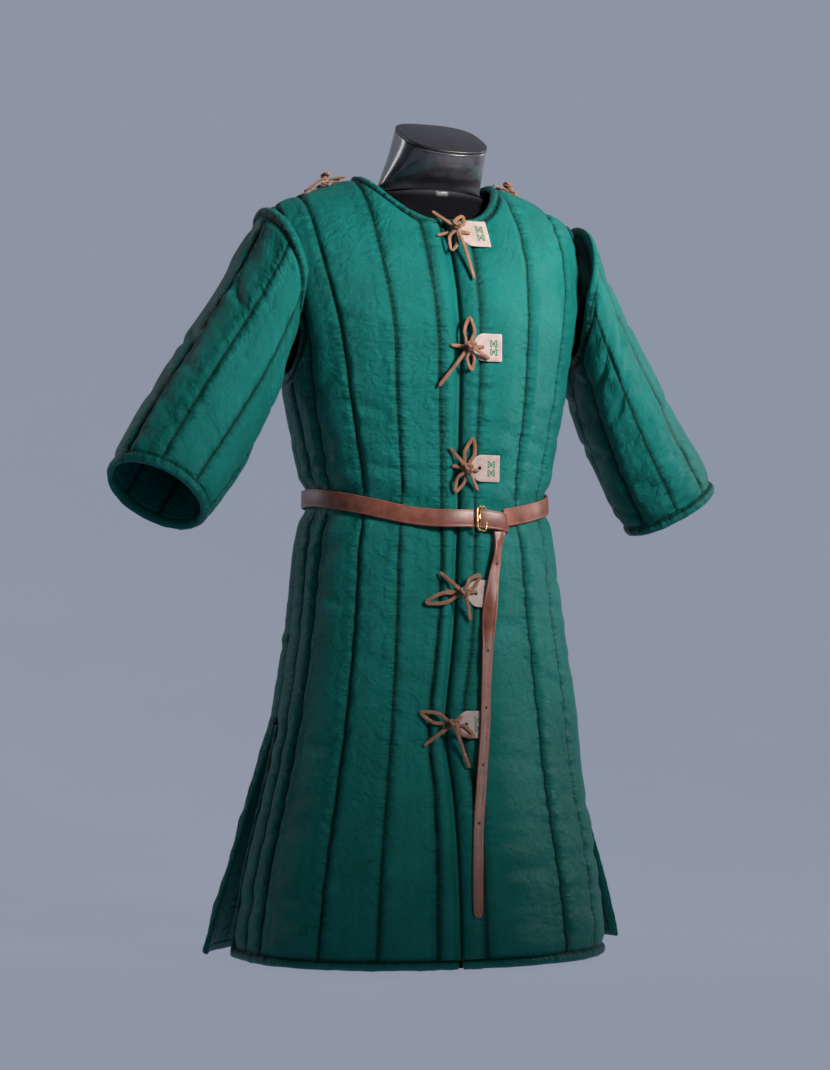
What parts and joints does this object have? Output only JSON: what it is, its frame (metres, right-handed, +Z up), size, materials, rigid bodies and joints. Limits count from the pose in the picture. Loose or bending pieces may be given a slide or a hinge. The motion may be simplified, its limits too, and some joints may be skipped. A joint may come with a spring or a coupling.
{
  "type": "quilted gambeson on a limbless dress form",
  "caption": "Green quilted padded jacket with elbow sleeves, slit skirt, leather tabs with knotted thongs and a knotted ring belt, worn by a limbless dress form on a round base.",
  "frame": {"origin": "centre of the form base's underside", "axes": "+Z up; the garment's front faces -Y; the wearer's right is towards -X"},
  "size_m": [0.8651, 0.4043, 1.0704],
  "materials": {
    "quilted_cotton": "satin-weave cotton, quilted",
    "binding": "satin-weave cotton binding",
    "belt_leather": "semi-gloss, brown",
    "tab_leather": "matt pale leather",
    "thong_suede": "suede",
    "brass": "polished, slightly worn",
    "form_gloss": "glossy charcoal",
    "form_cap": "dark satin"
  },
  "bodies": {
    "root": {"back": "quilted_cotton", "belt_knot": "belt_leather", "belt_strap": "belt_leather", "belt_tail": "belt_leather", "binding_armhole_left": "binding", "binding_armhole_right": "binding", "binding_back": "binding", "binding_front_left": "binding", "binding_front_right": "binding", "binding_neck": "binding", "buckle_ring": "brass", "cuff_binding_left": "binding", "cuff_binding_right": "binding", "form_base": "form_gloss", "form_pole": "form_gloss", "form_torso": "form_gloss", "front_left": "quilted_cotton", "front_right": "quilted_cotton", "knot_1": "thong_suede", "knot_2": "thong_suede", "knot_3": "thong_suede", "knot_4": "thong_suede", "knot_5": "thong_suede", "neck_cap": "form_cap", "shoulder_knot_left": "thong_suede", "shoulder_knot_right": "thong_suede", "shoulder_strap_left": "tab_leather", "shoulder_strap_right": "tab_leather", "shoulder_thong_left_a": "thong_suede", "shoulder_thong_left_b": "thong_suede", "shoulder_thong_right_a": "thong_suede", "shoulder_thong_right_b": "thong_suede", "sleeve_head_binding_left": "binding", "sleeve_head_binding_right": "binding", "sleeve_left": "quilted_cotton", "sleeve_right": "quilted_cotton", "tab_1": "tab_leather", "tab_2": "tab_leather", "tab_3": "tab_leather", "tab_4": "tab_leather", "tab_5": "tab_leather", "thong_1a": "thong_suede", "thong_1b": "thong_suede", "thong_2a": "thong_suede", "thong_2b": "thong_suede", "thong_3a": "thong_suede", "thong_3b": "thong_suede", "thong_4a": "thong_suede", "thong_4b": "thong_suede", "thong_5a": "thong_suede", "thong_5b": "thong_suede"}
  },
  "joints": []
}
